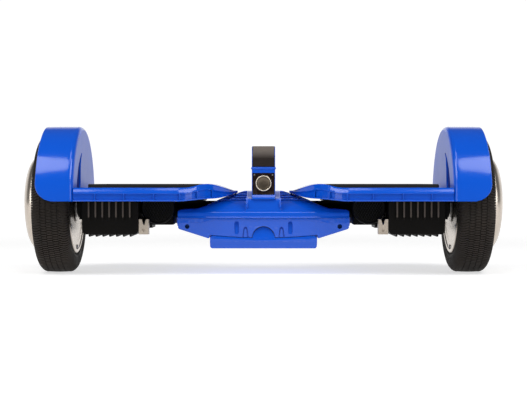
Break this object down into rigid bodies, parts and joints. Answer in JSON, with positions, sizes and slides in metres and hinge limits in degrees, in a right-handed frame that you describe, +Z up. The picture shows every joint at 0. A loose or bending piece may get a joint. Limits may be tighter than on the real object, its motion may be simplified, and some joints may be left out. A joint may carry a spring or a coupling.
{
  "type": "self balancing hoverboard",
  "caption": "Self balancing hoverboard: foot decks that twist on a central shaft, hub motor wheels under fenders, and a centre battery housing with carry handle.",
  "frame": {"origin": "centre of the bounding box, on the ground between the wheels", "axes": "+X along the wheel axles, -Y the front with the power button, +Z up"},
  "size_m": [0.583, 0.1888, 0.1795],
  "materials": {
    "blue_plastic": "glossy injection moulded blue shell",
    "black_plastic": "fine grained black plastic",
    "rubber": "soft black rubber",
    "tyre_rubber": "dark brown-black tyre rubber",
    "black_alloy": "black coated die cast alloy",
    "finned_alloy": "black anodised extrusion with worn fin edges",
    "bare_aluminium": "machined and cast bare aluminium",
    "steel": "turned steel",
    "ring_steel": "polished metal ring",
    "button_metal": "satin grey-brown button",
    "circuit_board": "green circuit board",
    "copper": "wound copper and laminated steel",
    "bronze": "sintered bronze",
    "battery_wrap": "cell pack in shrink wrap"
  },
  "bodies": {
    "centre": {"housing_upper": "blue_plastic", "housing_lower": "blue_plastic", "battery_cover": "blue_plastic", "battery_pack": "battery_wrap", "battery_board": "circuit_board", "central_shaft": "steel", "handle_frame": "blue_plastic", "handle_grip": "rubber", "switch_panel": "black_plastic", "button_ring": "ring_steel", "switch_body": "black_plastic", "charge_port": "black_plastic", "left_twist_bush": "bronze", "panel_screw_left": "steel", "housing_screw_front_left": "steel", "housing_screw_rear_left": "steel", "right_twist_bush": "bronze", "panel_screw_right": "steel", "housing_screw_front_right": "steel", "housing_screw_rear_right": "steel"},
    "power_button": {"power_button": "button_metal"},
    "left_deck": {"left_deck_frame": "black_alloy", "left_deck_cover": "blue_plastic", "left_fender": "blue_plastic", "left_foot_sensor_board": "circuit_board", "left_control_box": "finned_alloy", "left_controller_board": "circuit_board", "left_speaker": "black_plastic", "left_speaker_box": "black_plastic", "left_shaft_clamp": "bare_aluminium", "left_axle": "steel", "left_stator": "copper"},
    "left_wheel": {"left_tyre": "tyre_rubber", "left_rim": "bare_aluminium", "left_magnet_ring": "steel", "left_hub_disc": "bare_aluminium", "left_hub_cap": "bare_aluminium", "left_inner_bearing": "steel", "left_outer_bearing": "steel"},
    "left_pad": {"left_foot_pad": "rubber"},
    "right_deck": {"right_deck_frame": "black_alloy", "right_deck_cover": "blue_plastic", "right_fender": "blue_plastic", "right_foot_sensor_board": "circuit_board", "right_control_box": "finned_alloy", "right_controller_board": "circuit_board", "right_speaker": "black_plastic", "right_speaker_box": "black_plastic", "right_shaft_clamp": "bare_aluminium", "right_axle": "steel", "right_stator": "copper"},
    "right_wheel": {"right_tyre": "tyre_rubber", "right_rim": "bare_aluminium", "right_magnet_ring": "steel", "right_hub_disc": "bare_aluminium", "right_hub_cap": "bare_aluminium", "right_inner_bearing": "steel", "right_outer_bearing": "steel"},
    "right_pad": {"right_foot_pad": "rubber"}
  },
  "joints": [
    {"name": "left_twist", "type": "hinge", "parent": "centre", "child": "left_deck", "pos_m": [0, 0, 0.074], "axis": [1, 0, 0], "range_deg": [-8, 8]},
    {"name": "left_wheel_spin", "type": "hinge", "parent": "left_deck", "child": "left_wheel", "pos_m": [-0.252, 0, 0.085], "axis": [1, 0, 0], "continuous": true},
    {"name": "left_pad_press", "type": "slide", "parent": "left_deck", "child": "left_pad", "axis": [0, 0, -1], "range_m": [0, 0.0015], "stiffness_N_per_m": 5000, "springref_m": -0.0006},
    {"name": "right_twist", "type": "hinge", "parent": "centre", "child": "right_deck", "pos_m": [0, 0, 0.074], "axis": [1, 0, 0], "range_deg": [-8, 8]},
    {"name": "right_wheel_spin", "type": "hinge", "parent": "right_deck", "child": "right_wheel", "pos_m": [0.252, 0, 0.085], "axis": [1, 0, 0], "continuous": true},
    {"name": "right_pad_press", "type": "slide", "parent": "right_deck", "child": "right_pad", "axis": [0, 0, -1], "range_m": [0, 0.0015], "stiffness_N_per_m": 5000, "springref_m": -0.0006},
    {"name": "power_press", "type": "slide", "parent": "centre", "child": "power_button", "axis": [0, 1, 0], "range_m": [0, 0.0015], "stiffness_N_per_m": 800, "springref_m": -0.0005}
  ]
}
